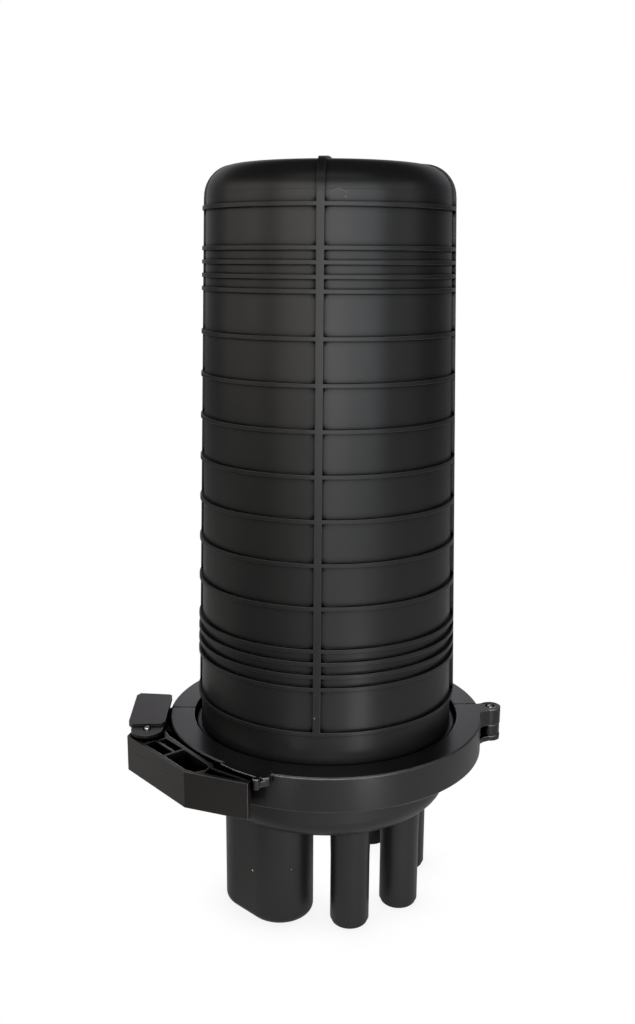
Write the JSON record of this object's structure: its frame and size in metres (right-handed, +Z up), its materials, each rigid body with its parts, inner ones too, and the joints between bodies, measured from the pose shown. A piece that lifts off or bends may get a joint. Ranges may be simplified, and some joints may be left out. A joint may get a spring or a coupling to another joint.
{
  "type": "dome splice closure",
  "caption": "Upright ribbed dome cover on a ported base, held by a hinged clamp ring with an over-centre latch, with splice trays inside.",
  "frame": {"origin": "on the dome's axis, in the plane of the port tips that the closure stands on", "axes": "+Z up along the dome's axis, -Y towards the front, with the latch on the -X side and the hinge on the +X side"},
  "size_m": [0.2358, 0.2039, 0.453],
  "materials": {
    "dome_plastic": "satin black moulded plastic with a fine even grain",
    "base_plastic": "satin black moulded plastic",
    "clamp_plastic": "smooth satin black moulded plastic",
    "latch_plastic": "smooth satin black moulded plastic",
    "cap_plastic": "black moulded plastic",
    "seal_rubber": "grey elastic rubber",
    "pin_steel": "plated steel",
    "frame_metal": "plain aluminium sheet",
    "tray_plastic": "pale grey moulded plastic",
    "comb_rubber": "blue soft rubber",
    "clear_cover": "clear plastic sheet",
    "strap_fabric": "woven hook-and-loop strap",
    "valve_brass": "turned brass"
  },
  "bodies": {
    "closure": {"dome_cover": "dome_plastic", "base_housing": "base_plastic", "sealing_ring": "seal_rubber", "clamp_front": "clamp_plastic", "hinge_pin": "pin_steel", "lever_pin": "pin_steel", "tray_frame": "frame_metal", "frame_screws": "pin_steel", "storage_basket": "tray_plastic", "tray_hinge": "frame_metal", "splice_tray_1": "tray_plastic", "splice_tray_2": "tray_plastic", "splice_tray_3": "tray_plastic", "splice_tray_4": "tray_plastic", "splice_combs": "comb_rubber", "tray_cover": "clear_cover", "tray_strap": "strap_fabric", "strength_clamps": "pin_steel", "clamp_bolts": "pin_steel", "valve_body": "valve_brass", "valve_nut": "pin_steel"},
    "clamp_back": {"clamp_back": "clamp_plastic"},
    "latch_lever": {"latch_lever": "latch_plastic"},
    "latch_link": {"latch_link": "latch_plastic", "link_pin": "pin_steel"},
    "valve_cap": {"valve_cap": "cap_plastic"}
  },
  "joints": [
    {"name": "clamp_hinge", "type": "hinge", "parent": "closure", "child": "clamp_back", "pos_m": [0.10639, 0.00669, 0.1054], "axis": [0, 0, -1], "range_deg": [0, 40]},
    {"name": "lever_pivot", "type": "hinge", "parent": "closure", "child": "latch_lever", "pos_m": [-0.1079, -0.01806, 0.1054], "axis": [0, 0, -1], "range_deg": [0, 135]},
    {"name": "link_pivot", "type": "hinge", "parent": "latch_lever", "child": "latch_link", "pos_m": [-0.10833, -0.04007, 0.1054], "axis": [0, 0, 1], "range_deg": [0, 190]},
    {"name": "valve_cap_turn", "type": "hinge", "parent": "closure", "child": "valve_cap", "pos_m": [-0.02756, 0.0441, 0.052], "axis": [0, 0, -1], "range_deg": [0, 720]}
  ],
  "couplings": [
    {"joint": "lever_pivot", "follows": "clamp_hinge", "ratio": 3.375},
    {"joint": "link_pivot", "follows": "clamp_hinge", "ratio": 4.75}
  ]
}
